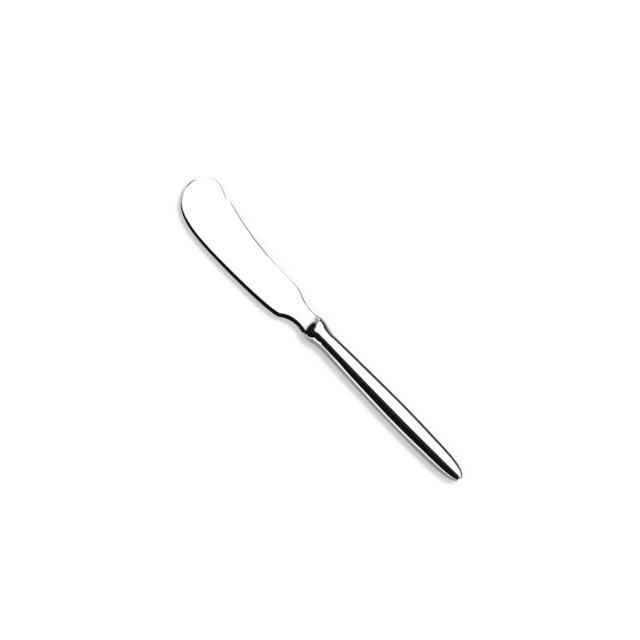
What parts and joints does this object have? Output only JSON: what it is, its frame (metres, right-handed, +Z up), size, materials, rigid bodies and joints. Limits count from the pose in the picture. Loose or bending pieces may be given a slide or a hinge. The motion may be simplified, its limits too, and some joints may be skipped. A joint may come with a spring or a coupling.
{
  "type": "butter knife",
  "caption": "Butter knife with a blunt round tip, a notch behind the hump of its back, a hollow-ground shoulder and a slim oval handle.",
  "frame": {"origin": "middle of the overall length and width, on the plane that the handle's underside touches", "axes": "+X along the handle's axis from the blade's tip to the butt, +Y towards the back of the blade, +Z up, square to the blade"},
  "size_m": [0.17, 0.0236, 0.0076],
  "materials": {
    "blade_steel": "polished",
    "handle_steel": "polished",
    "braze": "polished",
    "cement": "matte"
  },
  "bodies": {
    "root": {"blade": "blade_steel", "handle_front_shell": "handle_steel", "handle_back_shell": "handle_steel", "seam_braze": "braze", "tang_cement": "cement"}
  },
  "joints": []
}
